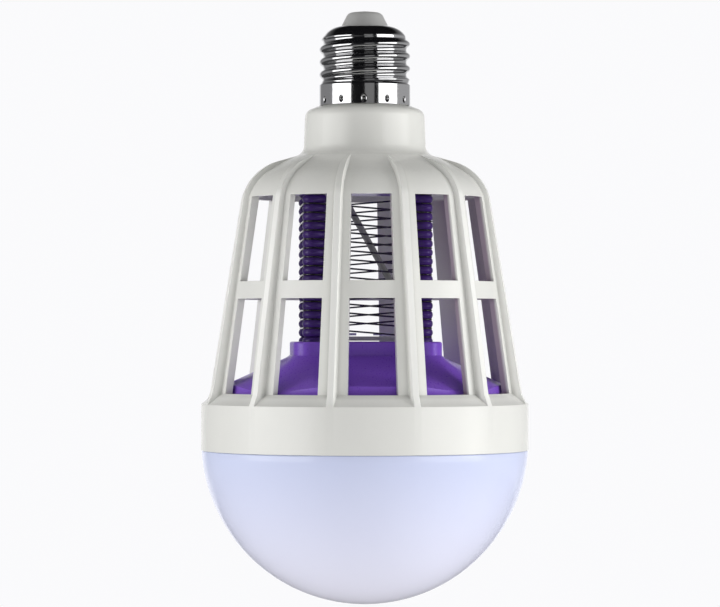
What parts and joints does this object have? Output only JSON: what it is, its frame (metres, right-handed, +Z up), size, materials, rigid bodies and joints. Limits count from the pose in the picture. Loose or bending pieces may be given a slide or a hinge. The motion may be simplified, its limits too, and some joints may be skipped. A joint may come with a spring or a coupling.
{
  "type": "insect killer light bulb",
  "caption": "Screw-cap lamp with a ribbed, windowed cage round a wound wire grid and an opal dome below; it lights a room and kills insects.",
  "frame": {"origin": "centre of the flat tip of the cap's centre contact", "axes": "+Z up along the lamp's axis with the cap on top; -Y out through the middle of one window of each row"},
  "size_m": [0.0948, 0.0948, 0.1716],
  "materials": {
    "warm_white_plastic": "moulded, satin",
    "violet_plastic": "moulded, satin",
    "plated_cap": "bright plated sheet",
    "tinned_contact": "tinned",
    "grey_insulator": "moulded, matte",
    "opal_diffuser": "opal, satin, lets light through",
    "dark_steel_wire": "dark drawn wire",
    "grey_lead_sleeve": "soft sleeve",
    "green_circuit_board": "solder mask",
    "white_circuit_board": "white solder mask",
    "yellow_chip": "phosphor",
    "clear_chip": "clear lens",
    "aluminium_plate": "plain sheet",
    "zinc_screw": "zinc plated",
    "black_component": "black sleeve or body",
    "red_film_capacitor": "dipped",
    "blue_resistor": "dipped"
  },
  "bodies": {
    "root": {"centre_contact": "tinned_contact", "cap_insulator": "grey_insulator", "screw_shell": "plated_cap", "cage_housing": "warm_white_plastic", "diffuser_dome": "opal_diffuser", "grid_top_plate": "violet_plastic", "grid_post_1": "violet_plastic", "grid_post_2": "violet_plastic", "grid_post_3": "violet_plastic", "grid_post_4": "violet_plastic", "grid_wire_live": "dark_steel_wire", "grid_wire_return": "dark_steel_wire", "insect_deck": "violet_plastic", "uv_led_board": "white_circuit_board", "uv_led_1": "clear_chip", "uv_led_2": "clear_chip", "uv_led_3": "clear_chip", "uv_led_4": "clear_chip", "heat_plate": "aluminium_plate", "led_board": "white_circuit_board", "led_chip_01": "yellow_chip", "led_chip_02": "yellow_chip", "led_chip_03": "yellow_chip", "led_chip_04": "yellow_chip", "led_chip_05": "yellow_chip", "led_chip_06": "yellow_chip", "led_chip_07": "yellow_chip", "led_chip_08": "yellow_chip", "led_chip_09": "yellow_chip", "led_chip_10": "yellow_chip", "led_chip_11": "yellow_chip", "led_chip_12": "yellow_chip", "led_chip_13": "yellow_chip", "led_chip_14": "yellow_chip", "led_chip_15": "yellow_chip", "led_chip_16": "yellow_chip", "led_chip_17": "yellow_chip", "led_chip_18": "yellow_chip", "board_screw_1": "zinc_screw", "board_screw_2": "zinc_screw", "board_screw_3": "zinc_screw", "board_spacer_1": "white_circuit_board", "board_spacer_2": "white_circuit_board", "board_spacer_3": "white_circuit_board", "board_spacer_4": "white_circuit_board", "hv_board": "green_circuit_board", "hv_capacitor_1": "red_film_capacitor", "hv_capacitor_2": "red_film_capacitor", "hv_capacitor_3": "red_film_capacitor", "driver_board": "green_circuit_board", "smoothing_capacitor": "black_component", "choke": "black_component", "bridge_rectifier": "black_component", "fuse_resistor": "blue_resistor", "contact_lead": "grey_lead_sleeve", "shell_lead": "grey_lead_sleeve", "feed_lead": "grey_lead_sleeve"}
  },
  "joints": []
}
